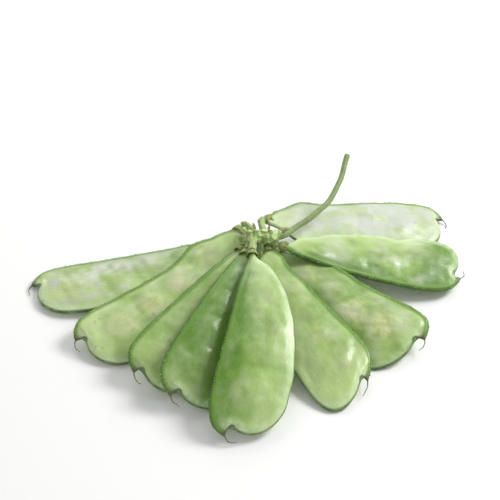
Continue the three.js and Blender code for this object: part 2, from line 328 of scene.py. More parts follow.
        # the faces: a lens that is fuller towards the belly, a rib and a groove along the suture, and seeds
        power = np.where(side > 0, 2.0, 2.7)
        lens = np.sqrt(np.maximum(1 - np.abs(side) ** power, 0))
        half = self.thickness(step)[:, None] / 2
        rib = shape.rib * hump(to_suture, 0.75, 0.5) - shape.groove * hump(to_suture, 2.1, 0.75)
        keel = 0.6 * shape.rib * hump(to_belly, 0.55, 0.4) - 0.35 * shape.groove * hump(to_belly, 1.7, 0.8)
        seeds = np.zeros_like(share)
        hollow = np.zeros_like(share)
        for middle, aside, swell, long, wide in self.seeds:
            far = ((share - middle) * self.length / long) ** 2 + ((across - aside) / wide) ** 2
            seeds = np.maximum(seeds, swell * np.exp(-far ** 1.3))
            hollow = np.maximum(hollow, swell * np.exp(-((np.sqrt(far) - 1.7) / 0.35) ** 2))
        inner = smooth(rim, 0.3, 3.5)
        wall = ripple(seed + 3, 15, x, y, face * 20) * 0.7 + ripple(seed + 4, 5.5, x, y, face * 20) * 0.3
        relief = shape.seed_swell * seeds - 0.12 * hollow + shape.wall_wave * inner * wall
        up = face * (half * lens + body * (rib + keel) * smooth(lens, 0.05, 0.25) + inner * body * relief)
        up = up + body * 0.28 * shape.edge_wave * ripple(seed + 5, 17, x) * side ** 2
        points = self.place(share, across * self.beak, up * self.beak)
        fields = {
            "along": x, "across": y, "rise": up * self.beak, "side": side + 0 * x, "share": share,
            "to_suture": to_suture, "to_belly": to_belly, "to_beak": to_beak, "seed": seeds,
        }
        return points, fields

    def plain_box(self):
        """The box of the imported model's own pod, before the cluster is put down."""
        step, angle = np.arange(24) / 23, 2 * np.pi * np.arange(12) / 12
        suture, belly = self.edges(step)
        side, rise = np.cos(angle)[None, :], np.sin(angle)[None, :]
        mixed = (1 + side[..., None]) / 2
        flat = belly[:, None, :] * (1 - mixed) + suture[:, None, :] * mixed
        share = flat[..., 0] - self.slant * flat[..., 1] * smooth(flat[..., 0], 0.4, 1)
        across = flat[..., 1] * self.width
        swell = np.max([0.7 * np.exp(-((share - s) * self.length / 6.5) ** 2 - (across / 5.5) ** 2)
                        for s in (0.24, 0.42, 0.6, 0.77)], axis=0)
        up = rise * self.thickness(step)[:, None] / 2
        up = np.where(np.abs(up) < 1e-6, 0, up + np.sign(up) * swell) * self.beak
        points = self.place(share, across * self.beak, up).reshape(-1, 3)
        return points.min(axis=0), points.max(axis=0)


pods = [Pod(number, spec) for number, spec in enumerate(PODS, start=1)]


def put_down():
    """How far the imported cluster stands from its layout, measured on each pod's box."""
    moves = []
    for pod in pods:
        low, high = (np.array(corner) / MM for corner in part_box(f"pod_{pod.number}"))
        plain_low, plain_high = pod.plain_box()
        moves += [low - plain_low, high - plain_high]
    move = np.median(moves, axis=0)
    if np.abs(np.array(moves) - move).max() > 0.05:
        raise RuntimeError("the packed pods don't lie as this layout has them")
    return move


origin = put_down()

# ---- meshes ----


def rings(grid, start, end):
    """Vertices and faces of a closed skin: rows of rings, and a point that closes each end."""
    rows, sides = grid.shape[:2]
    vertices = np.vstack([grid.reshape(-1, 3), start, end])
    here = np.arange(rows * sides).reshape(rows, sides)
    after = np.roll(here, -1, axis=1)
    faces = np.stack([here[:-1], after[:-1], after[1:], here[1:]], axis=-1).reshape(-1, 4).tolist()
    first, last = rows * sides, rows * sides + 1
    faces += [(first, b, a) for a, b in zip(here[0], after[0])]
    faces += [(last, a, b) for a, b in zip(here[-1], after[-1])]
    return vertices, [tuple(int(corner) for corner in face) for face in faces]


class Form:
    """Several closed skins that make one mesh, in the layout's millimetres."""

    def __init__(self):
        self.vertices, self.faces, self.fields = [], [], {}

    def add(self, vertices, faces, **fields):
        start = len(self.vertices)
        self.vertices += [tuple(vertex) for vertex in vertices]
        self.faces += [tuple(start + corner for corner in face) for face in faces]
        for name, values in fields.items():
            self.fields.setdefault(name, []).extend(np.asarray(values, float).ravel())

    def piece(self, name, material):
        """The finished piece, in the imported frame."""
        mesh = bpy.data.meshes.new(name)
        placed = (np.array(self.vertices) + origin) * MM
        mesh.from_pydata(placed.tolist(), [], self.faces)
        work = bmesh.new()
        work.from_mesh(mesh)
        bmesh.ops.recalc_face_normals(work, faces=work.faces)
        work.to_mesh(mesh)
        work.free()
        for field, values in self.fields.items():
            write_field(mesh, field, values)
        return finished(mesh, name, material)


def write_field(mesh, name, values):
    mesh.attributes.new(name, "FLOAT", "POINT").data.foreach_set("value", np.asarray(values, np.float32))


def finished(mesh, name, material):
    mesh.name = name
    mesh.polygons.foreach_set("use_smooth", [True] * len(mesh.polygons))
    mesh.materials.clear()
    mesh.materials.append(material)
    mesh.update()
    piece = bpy.data.objects.new(name, mesh)
    bpy.context.scene.collection.objects.link(piece)
    return piece


def frames_along(path):
    """Two directions across a path at each point, carried along it without twist."""
    along = unit(np.gradient(path, axis=0))
    across = np.zeros_like(along)
    start = np.cross(along[0], (0.0, 0.0, 1.0))
    across[0] = start / np.linalg.norm(start)
    for row in range(1, len(path)):
        carried = across[row - 1] - along[row] * (across[row - 1] @ along[row])
        across[row] = carried / np.linalg.norm(carried)
    return along, across, np.cross(along, across)


def tube(path, radius, sides):
    """A round bar along a path. radius holds one for each point, or one for each point and side."""
    along, across, above = frames_along(path)
    angle = 2 * np.pi * np.arange(sides) / sides
    radius = np.asarray(radius, float)
    radius = radius[:, None] if radius.ndim == 1 else radius
    ring = across[:, None] * np.cos(angle)[None, :, None] + above[:, None] * np.sin(angle)[None, :, None]
    return rings(path[:, None] + ring * radius[..., None], path[0], path[-1])


# ---- materials ----


class Value:
    """A socket of a material's nodes, which sums can be written with."""

    def __init__(self, paint, socket):
        self.paint, self.socket = paint, socket

    def _sum(self, operation, first, second):
        made = self.paint.node("ShaderNodeMath", {"operation": operation}, {0: first, 1: second})
        return Value(self.paint, made.outputs[0])

    def __add__(self, other):
        return self._sum("ADD", self, other)

    def __sub__(self, other):
        return self._sum("SUBTRACT", self, other)

    def __rsub__(self, other):
        return self._sum("SUBTRACT", other, self)

    def __mul__(self, other):
        return self._sum("MULTIPLY", self, other)

    def __truediv__(self, other):
        return self._sum("DIVIDE", self, other)

    def __pow__(self, other):
        return self._sum("POWER", self, other)

    __radd__ = __add__
    __rmul__ = __mul__

    def least(self, other):
        return self._sum("MINIMUM", self, other)

    def between(self, low, high):
        """0 below low, 1 above high, and an even S between them, or the other way round if high is lower."""
        if high < low:
            return 1 - self.between(high, low)
        values = {"Value": self, "From Min": low, "From Max": high}
        made = self.paint.node("ShaderNodeMapRange", {"interpolation_type": "SMOOTHSTEP"}, values)
        return Value(self.paint, made.outputs[0])


class Paint:
    """One material, and its nodes as they are added."""

    def __init__(self, name):
        self.material = bpy.data.materials.new(name)
        self.material.use_nodes = True
        self.tree = self.material.node_tree
        self.tree.nodes.clear()

    def node(self, kind, settings, values):
        made = self.tree.nodes.new(kind)
        for name, setting in settings.items():
            setattr(made, name, setting)
        for name, value in values.items():
            if isinstance(value, Value):
                self.tree.links.new(value.socket, made.inputs[name])
            else:
                made.inputs[name].default_value = value
        return made

    def field(self, name):
        made = self.node("ShaderNodeAttribute", {"attribute_name": name, "attribute_type": "GEOMETRY"}, {})
        return Value(self, made.outputs["Fac"])

    def vector(self, x, y, z):
        return Value(self, self.node("ShaderNodeCombineXYZ", {}, {0: x, 1: y, 2: z}).outputs[0])

    def place(self):
        """Where a point is, in metres."""
        return Value(self, self.node("ShaderNodeTexCoord", {}, {}).outputs["Object"])

    def noise(self, where, scale, detail=2.0, roughness=0.5, distortion=0.0):
        values = {"Vector": where, "Scale": scale, "Detail": detail, "Roughness": roughness,
                  "Distortion": distortion}
        return Value(self, self.node("ShaderNodeTexNoise", {}, values).outputs[0])

    def cells(self, where, scale, feature="DISTANCE_TO_EDGE"):
        made = self.node("ShaderNodeTexVoronoi", {"feature": feature}, {"Vector": where, "Scale": scale})
        return Value(self, made.outputs["Distance"])

    def mix(self, share, first, second):
        values = {0: share, 6: self.whole(first), 7: self.whole(second)}
        made = self.node("ShaderNodeMix", {"data_type": "RGBA", "clamp_factor": True}, values)
        return Value(self, made.outputs[2])

    @staticmethod
    def whole(shade):
        return shade if isinstance(shade, Value) else (*shade, 1.0)

    def done(self, height, relief, **values):
        """Closes the material. height goes to a bump that is relief metres deep."""
        bump = self.node("ShaderNodeBump", {}, {"Height": height, "Strength": 1.0, "Distance": relief})
        skin = self.node("ShaderNodeBsdfPrincipled", {}, {
            **{name.replace("_", " ").title().replace("Ior", "IOR"): value for name, value in values.items()},
            "Normal": Value(self, bump.outputs[0]),
        })
        self.node("ShaderNodeOutputMaterial", {}, {0: Value(self, skin.outputs[0])})
        return self.material


def pod_skin(pod, paints):
    """Smooth waxy skin: green towards the suture, paler over the seeds and the belly, with a thin dark margin,
    painted light on the belly rim and the ends, and painted shade on belly sides that the next pod covers.
    """
    paint = Paint(f"bean_skin_{pod.number}")
    along, across, rise = (paint.field(name) for name in ("along", "across", "rise"))
    side, share, seed = (paint.field(name) for name in ("side", "share", "seed"))
    to_suture, to_belly = paint.field("to_suture"), paint.field("to_belly")
    rim = to_suture.least(to_belly)
    flow = paint.vector(along * 0.75, across, rise * 1.5 + 37.0 * pod.number)
    other = paint.vector(along * 0.8 + 51.0, across + 17.0, rise * 1.5 + 29.0 * pod.number)
    patches = paint.noise(flow, 0.085, 2.0).between(0.36, 0.64)
    clouds = paint.noise(other, 0.11, 2.5).between(0.4, 0.66)
    mottle = paint.noise(flow, 0.42, 3.0).between(0.34, 0.66)
    flecks = paint.noise(other, 1.7, 3.0, 0.6)
    veins = paint.cells(paint.vector(along * 0.6 + mottle * 1.5, across + mottle * 1.2, 5.0), 0.45)
    veins = veins.between(0.0, 0.16)

    # the green of the wall, deeper towards the suture; a negative belly adds painted shade on a belly side that the
    # next pod covers, and a negative end deepens the end
    belly = side.between(0.75, -0.95) * pod.belly
    end = share.between(0.68, 0.98)
    depth = pod.deep + 0.3 + side.between(0.0, 1.0) * 0.3 - patches * 0.5 - belly * 0.35 + end * max(0.0, -pod.end)
    skin = paint.mix(depth, paints.green, paints.deep_green)
    # paler towards a pale belly; where end is positive, end * pod.end paints light on the pod's end
    light = pod.pale * 0.55 + belly * 0.45 + mottle * 0.1 + clouds * 0.2 - 0.22 + end * pod.end * 0.6
    skin = paint.mix(light, skin, paints.pale_green)
    skin = paint.mix((1 - veins) * 0.05, skin, paints.pale_green)

    # cream where a seed presses on it, and a greyish bloom of wax, which on a pod with wax above 1 also paints a
    # sheen over the whole pod
    full = seed.between(0.03, 0.95) * (0.4 + 0.6 * patches)
    skin = paint.mix(full * (0.35 + mottle * 0.65) * pod.cream, skin, paints.cream)
    ring = seed.between(0.02, 0.2) * seed.between(0.5, 0.25)
    skin = paint.mix(ring * 0.16 * (1 - patches), skin, paints.deep_green)
    shade = paint.noise(paint.vector(along * 0.8 + 91.0, across + 43.0, rise + 23.0 * pod.number), 0.09, 2.0)
    skin = paint.mix(shade.between(0.54, 0.7) * 0.5, skin, paints.shade)
    # a wax above 1 whitens the whole pod: painted sheen on top of the wax bloom
    bloom_and_sheen = clouds * (0.45 + 0.55 * patches) * rim.between(0.8, 4.5) + max(0.0, pod.wax - 1) * 1.2
    bloom_and_sheen = bloom_and_sheen * (1 - end * min(0.9, max(0.0, -pod.end)))
    skin = paint.mix(bloom_and_sheen * pod.wax * 0.75, skin, paints.bloom_and_sheen)
    # tiny pale flecks: partly small scars and partly painted glints
    skin = paint.mix(flecks.between(0.5, 0.72) * 0.08, skin, paints.pale_green)

    # the neck is pale; a painted highlight band lies inside the belly edge, strongest where belly and end are set
    # high, and a thin dark line runs outside the rim
    skin = paint.mix(share.between(0.2, 0.02) * 0.45, skin, paints.pale_green)
    lit = 0.25 + 0.75 * max(0.0, pod.belly) + end * max(0.0, pod.end) * 0.9
    rim_highlight = to_belly.between(3.8, 1.2) * (0.35 + mottle * 0.35) * lit
    skin = paint.mix(rim_highlight, skin, paints.painted_rim_light)
    seam = to_suture.between(2.4, 1.0) * (0.65 + flecks.between(0.4, 0.6) * 0.35)
    skin = paint.mix(seam, skin, paints.suture_green)
    edge = rim.between(0.75, 0.12) * (0.7 + 0.3 * mottle) * share.between(0.03, 0.1)
    skin = paint.mix(edge, skin, paints.margin)
    scuff = paint.noise(other, 0.23, 4.0, 0.65).between(0.63, 0.69)
    skin = paint.mix(scuff * 0.3, skin, paints.scuff)
    skin = paint.mix(paint.field("to_beak").between(3.2, 0.6) * 0.9, skin, paints.beak)

    bumps = flecks * 0.2 + veins * 0.2 + paint.noise(flow, 0.8, 3.0) * 0.6
    return paint.done(
        bumps, 0.00012,
        base_color=skin,
        roughness=0.36 + mottle * 0.1 + flecks * 0.08 - bloom_and_sheen * 0.06,
        coat_weight=0.18 + clouds * 0.3 - end * 0.12 * min(1.0, max(0.0, -pod.end)),
        coat_roughness=0.16, specular_ior_level=0.45,
        subsurface_weight=0.3, subsurface_radius=(0.5, 1.0, 0.25), subsurface_scale=0.0022,
    )


def wart_skin(paints):
    """Corky little warts: dark green in the seam, pale yellow-green on their tips."""
    paint = Paint("suture_wart_skin")
    where = paint.place()
    spread = paint.noise(where, 900.0, 2.0).between(0.35, 0.65)
    skin = paint.mix(spread, paints.suture_green, paints.wart_tip)
    skin = paint.mix(paint.noise(where, 160.0, 2.0).between(0.45, 0.65) * 0.6, skin, paints.margin)
    return paint.done(paint.noise(where, 4000.0, 3.0), 0.00005, base_color=skin,
                      roughness=0.45 + spread * 0.15, subsurface_weight=0.2,
                      subsurface_radius=(0.5, 1.0, 0.25), subsurface_scale=0.0008)


def stalk_skin(paints):
    """Green ribbed stalk: greyish down its length, brighter with olive blotches on the knots, pale where cut."""
    paint = Paint("stalk_skin")
    where = paint.place()
    ridge, knot, cut = (paint.field(name) for name in ("ridge", "knot", "cut"))
    along = paint.field("along")
    mottle = paint.noise(where, 420.0, 3.0).between(0.36, 0.64)
    fibres = paint.noise(paint.vector(along * 0.12, ridge * 1.3, 3.0), 2.2, 3.0)
    fine = paint.noise(where, 2600.0, 3.0, 0.6)
    skin = paint.mix(fibres.between(0.35, 0.65) * 0.6 + ridge * 0.25, paints.green, paints.light)
    skin = paint.mix(knot * (0.35 + mottle * 0.5), skin, paints.knot)
    blotches = paint.noise(where, 260.0, 4.0, 0.6).between(0.5, 0.64) * (0.2 + knot * 0.35)
    skin = paint.mix(blotches, skin, paints.olive)
    skin = paint.mix(fine.between(0.6, 0.7) * 0.35, skin, paints.olive)
    skin = paint.mix(cut, skin, paints.cut)
    return paint.done(fine * 0.5 + fibres * 0.6 + mottle * 0.3, 0.00014, base_color=skin,
                      roughness=0.5 + mottle * 0.12, specular_ior_level=0.4, subsurface_weight=0.15,
                      subsurface_radius=(0.5, 1.0, 0.25), subsurface_scale=0.001)


def dry_skin(name, base, tip, blotch):
    """Thin dry tissue, browner towards its end, with darker blotches and fine fibres."""
    paint = Paint(name)
    where = paint.place()
    end = paint.field("end")
    mottle = paint.noise(where, 700.0, 3.0).between(0.35, 0.65)
    fibres = paint.noise(paint.vector(paint.field("round") * 2.4, end * 0.7, 1.0), 3.0, 3.0)
    skin = paint.mix(end.between(0.3, 1.0) * 0.8 + mottle * 0.2, base, tip)
    skin = paint.mix(mottle * fibres.between(0.4, 0.6) * 0.6, skin, blotch)
    return paint.done(fibres + mottle * 0.3, 0.0001, base_color=skin, roughness=0.7 + mottle * 0.15,
                      specular_ior_level=0.3)


# ---- sizes and colours ----


def tint(name, description, red, green, blue):
    return FloatVectorProperty(name=name, description=description, default=colour(red, green, blue),
                               subtype="COLOR", size=3, min=0, max=1)


def size(name, description, default, low=0.0, high=50.0):
    return FloatProperty(name=name, description=f"{description}, in millimetres", default=default,
                         min=low, max=high, subtype="NONE", unit="NONE")


def power(name, description, default):
    return FloatProperty(name=name, description=description, default=default, min=0, unit="POWER")


class PodSettings(bpy.types.PropertyGroup):
    """Sizes and colours of the pods' skin."""

    rows: IntProperty(name="Rows", description="Rows of faces from a pod's neck to its beak", default=170, min=30)
    sides: IntProperty(name="Sides", description="Faces round a pod", default=96, min=16)
    rib: size("Suture rib", "How far the rib along the suture stands up", 0.17)
    groove: size("Suture groove", "How deep the groove beside the rib is", 0.13)
    seed_swell: size("Seed swelling", "How far the fullest seed lifts a face", 1.0)
    wall_wave: size("Wall unevenness", "How uneven the faces are", 0.3)
    edge_wave: size("Edge unevenness", "How uneven the outline is", 0.12)
    green: tint("Green", "The skin's middle green", 148, 182, 80)
    deep_green: tint("Deep green", "The skin away from the light and towards the suture", 92, 138, 34)
    pale_green: tint("Pale green", "The skin towards the belly", 196, 216, 150)
    cream: tint("Cream", "The skin over a seed", 217, 211, 170)
    shade: tint("Olive", "Duller olive patches", 132, 154, 84)
    bloom_and_sheen: tint("Bloom", "Patches of wax", 194, 200, 186)
    # painted light: the lit band inside the belly edge
    painted_rim_light: tint("Light rim", "The band inside the belly edge", 205, 225, 178)
    suture_green: tint("Suture", "The rib along the suture", 94, 138, 38)
    margin: tint("Margin", "The thin line round a pod's edge", 66, 94, 40)
    scuff: tint("Scuffs", "Small greyish scuffs", 126, 132, 100)
    beak: tint("Beak", "The tip of the beak", 84, 88, 50)


class WartSettings(bpy.types.PropertyGroup):
    """Sizes and colours of the warts along the sutures."""

    spacing: size("Spacing", "How far apart the warts are", 1.05, 0.3)
    smallest: size("Smallest", "The smallest wart's radius", 0.13)
    largest: size("Largest", "The largest wart's radius", 0.34)
    stray: size("Stray", "How far a wart may lie off its row", 0.14)
    seed: IntProperty(name="Seed", description="Chooses where the warts fall", default=7)
    suture_green: tint("Foot", "The foot of a wart", 104, 146, 52)
    wart_tip: tint("Tip", "The tip of a wart", 150, 182, 88)
    margin: tint("Dark", "The darkest warts", 74, 104, 44)


class StalkSettings(bpy.types.PropertyGroup):
    """Sizes and colours of the stalk."""

    voxel: size("Fineness", "The size of the stalk's faces", 0.17, 0.08, 1.0)
    ridges: IntProperty(name="Ridges", description="Ridges round the stalk", default=7, min=0)
    ridge_height: size("Ridge height", "How far the ridges stand up", 0.07)
    green: tint("Green", "The stalk's furrows", 118, 140, 86)
    light: tint("Light", "The stalk's ridges", 158, 176, 122)
    knot: tint("Knots", "The swollen knots", 200, 222, 148)
    olive: tint("Olive", "Weathered blotches", 124, 132, 70)
    cut: tint("Cut", "Where a branch or the stalk was cut", 196, 216, 148)


class CalyxSettings(bpy.types.PropertyGroup):
    """Sizes and colours of the dry cups at the pods' necks."""

    lobes: IntProperty(name="Lobes", description="Teeth round a cup's mouth", default=5, min=3)
    lobe_length: size("Lobe length", "How long the teeth are", 0.6)
    ribs: size("Ribs", "How far the ribs of a cup stand up", 0.07)
    base: tint("Base", "The foot of a cup", 170, 190, 122)
    tip: tint("Tip", "The teeth of a cup", 148, 152, 92)
    blotch: tint("Blotches", "Dark blotches", 116, 124, 66)


class StyleSettings(bpy.types.PropertyGroup):
    """Sizes and colours of the dry threads on the beaks."""

    kink: size("Kink", "How far a thread wanders", 0.1)
    base: tint("Base", "A thread's foot", 96, 104, 52)
    tip: tint("Tip", "A thread's end", 150, 146, 104)
    blotch: tint("Blotches", "Dark blotches", 64, 58, 32)


class BractSettings(bpy.types.PropertyGroup):
    """Colours of the dry scales on the knots."""

    thickness: size("Thickness", "How thick a scale is", 0.16)
    base: tint("Base", "A scale's foot", 158, 168, 106)
    tip: tint("Tip", "A scale's end", 142, 134, 84)
    blotch: tint("Blotches", "Dark blotches", 92, 80, 42)


class StageSettings(bpy.types.PropertyGroup):
    """The floor and the light."""

    floor: tint("Floor", "The floor's colour", 247, 247, 246)
    sky: FloatProperty(name="Sky", description="Strength of the even light from all round", default=0.45, min=0)
    key: power("Key", "Power of the light from the right", 5.8)
    front: power("Front", "Power of the light in front", 0.9)
    back: power("Back", "Power of the light from behind", 3.2)


# ---- pieces ----


def stand_for(piece, slot, *nodes):
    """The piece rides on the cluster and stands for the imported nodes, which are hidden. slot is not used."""
    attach(piece, BODY)
    if nodes:
        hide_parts(*nodes)


class HYACINTH_OT_stage(bpy.types.Operator):
    """Make the floor, the lights and the camera"""

    bl_idname = "hyacinth.stage"
    bl_label = "Stage"

    def light(self, name, power, width, place):
        lamp = bpy.data.lights.new(name, "AREA")
        lamp.energy, lamp.size = power, width
        holder = bpy.data.objects.new(name, lamp)
        holder.location = place
        aim = Vector((0, 0, 0.01)) - holder.location
        holder.rotation_euler = aim.to_track_quat("-Z", "Y").to_euler()
        bpy.context.scene.collection.objects.link(holder)

    def execute(self, context):
        settings = context.scene.hyacinth_stage
        paint = Paint("floor_paper")
        grain = paint.noise(paint.place(), 900.0, 3.0)
        shade = paint.mix(grain * 0.03, settings.floor, tuple(0.97 * channel for channel in settings.floor))
        material = paint.done(grain, 0.00002, base_color=shade, roughness=0.85, specular_ior_level=0.2)
        mesh = bpy.data.meshes.new("floor")
        reach, depth = 4.0, -0.1 * MM
        corners = [(x * reach, y * reach, depth) for x, y in ((-1, -1), (1, -1), (1, 1), (-1, 1))]
        mesh.from_pydata(corners, [], [(0, 1, 2, 3)])
        finished(mesh, "floor", material)

        world = bpy.data.worlds.new("soft_room")
        world.use_nodes = True
        sky = world.node_tree.nodes["Background"].inputs
        sky["Color"].default_value = (1, 1, 1, 1)
        sky["Strength"].default_value = settings.sky
        context.scene.world = world
        self.light("key_light", settings.key, 0.34, (0.58, 0.26, 0.56))
        self.light("back_light", settings.back, 0.7, (-0.05, 0.85, 0.6))
        self.light("front_light", settings.front, 0.6, (-0.25, -0.8, 0.55))
        context.scene.view_settings.view_transform = "Standard"

        lens = bpy.data.cameras.new("camera")
        lens.lens = CAMERA_LENS
        camera = bpy.data.objects.new("camera", lens)
        back = np.array([0, -math.cos(CAMERA_ELEVATION), math.sin(CAMERA_ELEVATION)])
        camera.location = (np.array(CAMERA_TARGET) + origin + back * CAMERA_DISTANCE) * MM
        camera.rotation_euler = (math.pi / 2 - CAMERA_ELEVATION, 0, 0)
        context.scene.collection.objects.link(camera)
        context.scene.camera = camera
        return {"FINISHED"}


class HYACINTH_OT_pods(bpy.types.Operator):
    """Make the nine pods"""

    bl_idname = "hyacinth.pods"
    bl_label = "Pods"

    def execute(self, context):
        settings = context.scene.hyacinth_pods
        angle = 2 * np.pi * np.arange(settings.sides) / settings.sides
        for pod in pods:
            step = pod.steps(settings.rows)
            points, fields = pod.surface(step, angle, settings)
            start, end = points[0].mean(axis=0), points[-1].mean(axis=0)
            ends = {name: np.concatenate([grid.ravel(), [grid[0].mean(), grid[-1].mean()]])
                    for name, grid in fields.items()}
            form = Form()
            form.add(*rings(points, start, end), **ends)
            piece = form.piece(f"bean_{pod.number}", pod_skin(pod, settings))
            stand_for(piece, "pod", f"pod_{pod.number}")
        return {"FINISHED"}


class HYACINTH_OT_warts(bpy.types.Operator):
    """Make the warts along the pods' sutures"""

    bl_idname = "hyacinth.warts"
    bl_label = "Suture warts"

    def seams(self, context):
        """Two rows along each pod's suture, one on each face, as a curve."""
        line = bpy.data.curves.new("seams", "CURVE")
        line.dimensions = "3D"
        shape = context.scene.hyacinth_pods
        for pod in pods:
            step = pod.steps(240)
            step = step[(step > 0.1) & (step < 0.93)]
            off = np.arccos(1 - 2 * 0.22 / pod.row_width(step))
            for face in (1, -1):
                angles = face * off
                points, _ = pod.surface(step, np.array([angles.mean()]), shape)
                path = (points[:, 0] + origin) * MM
                spline = line.splines.new("POLY")
                spline.points.add(len(path) - 1)
                spline.points.foreach_set("co", np.hstack([path, np.ones((len(path), 1))]).ravel())
        holder = bpy.data.objects.new("seams", line)
        context.scene.collection.objects.link(holder)
        return holder

    def tree(self, material):
        tree = bpy.data.node_groups.new("warts_along_seams", "GeometryNodeTree")
        inputs = tree.interface
        inputs.new_socket("Geometry", in_out="INPUT", socket_type="NodeSocketGeometry")
        for name in ("Spacing", "Smallest", "Largest", "Stray"):
            inputs.new_socket(name, in_out="INPUT", socket_type="NodeSocketFloat")
        inputs.new_socket("Seed", in_out="INPUT", socket_type="NodeSocketInt")
        inputs.new_socket("Geometry", in_out="OUTPUT", socket_type="NodeSocketGeometry")
        nodes, link = tree.nodes, tree.links.new
        given = nodes.new("NodeGroupInput").outputs
        result = nodes.new("NodeGroupOutput")

        points = nodes.new("GeometryNodeResampleCurve")
        points.mode = "LENGTH"
        link(given["Geometry"], points.inputs["Curve"])
        link(given["Spacing"], points.inputs["Length"])
        low = nodes.new("ShaderNodeMath")
        low.operation = "MULTIPLY"
        low.inputs[1].default_value = -1
        link(given["Stray"], low.inputs[0])
        stray = nodes.new("FunctionNodeRandomValue")
        stray.data_type = "FLOAT_VECTOR"
        link(low.outputs[0], stray.inputs[0])
        link(given["Stray"], stray.inputs[1])
        link(given["Seed"], stray.inputs["Seed"])
        moved = nodes.new("GeometryNodeSetPosition")
        link(points.outputs[0], moved.inputs["Geometry"])
        link(stray.outputs[0], moved.inputs["Offset"])
        radius = nodes.new("FunctionNodeRandomValue")
        radius.data_type = "FLOAT"
        link(given["Smallest"], radius.inputs[2])
        link(given["Largest"], radius.inputs[3])
        link(given["Seed"], radius.inputs["Seed"])
        wart = nodes.new("GeometryNodeMeshIcoSphere")
        wart.inputs["Radius"].default_value = 1
        wart.inputs["Subdivisions"].default_value = 2
        placed = nodes.new("GeometryNodeInstanceOnPoints")
        link(moved.outputs[0], placed.inputs["Points"])
        link(wart.outputs[0], placed.inputs["Instance"])
        link(radius.outputs[1], placed.inputs["Scale"])
        real = nodes.new("GeometryNodeRealizeInstances")
        link(placed.outputs[0], real.inputs[0])
        painted = nodes.new("GeometryNodeSetMaterial")
        painted.inputs["Material"].default_value = material
        link(real.outputs[0], painted.inputs["Geometry"])
        link(painted.outputs[0], result.inputs[0])
        return tree

    def execute(self, context):
        settings = context.scene.hyacinth_warts
        material = wart_skin(settings)
        holder = self.seams(context)
        tree = self.tree(material)
        modifier = holder.modifiers.new("warts", "NODES")
        modifier.node_group = tree
        values = {"Spacing": settings.spacing * MM, "Smallest": settings.smallest * MM,
                  "Largest": settings.largest * MM, "Stray": settings.stray * MM, "Seed": settings.seed}
        for item in tree.interface.items_tree:
            if item.in_out == "INPUT" and item.name in values:
                modifier[item.identifier] = values[item.name]
        evaluated = holder.evaluated_get(context.evaluated_depsgraph_get())
        mesh = bpy.data.meshes.new_from_object(evaluated)
        bpy.data.objects.remove(holder)
        if not mesh.polygons:
            raise RuntimeError("the warts came out empty")
        stand_for(finished(mesh, "suture_warts", material), "pod")
        return {"FINISHED"}


def on_rachis(x):
    x = np.asarray(x, float)
    return np.stack([x, -1.4 + 0.05 * x, 24 + 0 * x], axis=-1)


def pedicel_route(pod):
    """A pod's own branch, from the rachis to just short of its cup."""
    point, along, _, _ = pod.frame(0.0)
    end = point - along * (2 * JOINT_GAP + CALYX_FLOOR)
    before = end - along * 2.5
    foot = on_rachis(pod.branch)
    out = foot + unit(before - foot) * 1.5
    t = np.linspace(0, 1, 60)[:, None]
    bezier = (1 - t) ** 3 * foot + 3 * (1 - t) ** 2 * t * out + 3 * (1 - t) * t * t * before + t ** 3 * end
    return evenly(bezier, 40)


# Small scars on the knots: place along the rachis, turn round it in degrees, length and radius.
SCARS = [
    (-5.2, 70, 1.6, 0.95), (-3.6, 150, 1.5, 1.0), (-2.4, 60, 1.7, 1.05), (-1.2, 110, 1.4, 0.85),
    (0.4, 75, 1.8, 1.1), (1.6, 130, 1.5, 0.95), (2.6, 50, 1.6, 0.9), (4.4, 100, 1.8, 1.1), (-0.4, 20, 1.5, 0.8),
    (5.3, 60, 1.5, 0.9), (-4.4, 20, 1.6, 0.9), (2.2, 160, 2.0, 1.0), (-1.6, 165, 1.8, 0.9),
]


STALK_SIDES = 28  # faces round a run of the stalk, before the runs are grown together

# Short lumps between the branches: place along the rachis, end and radius.
KNOBS = [(-0.9, (-0.8, -6.6, 16.9), 1.35), (-5, (-8.3, 1.2, 21.6), 1.2), (-5.2, (-7.4, 5.6, 22.6), 1.0),
         (4.2, (5.4, 3.2, 21.8), 1.2)]


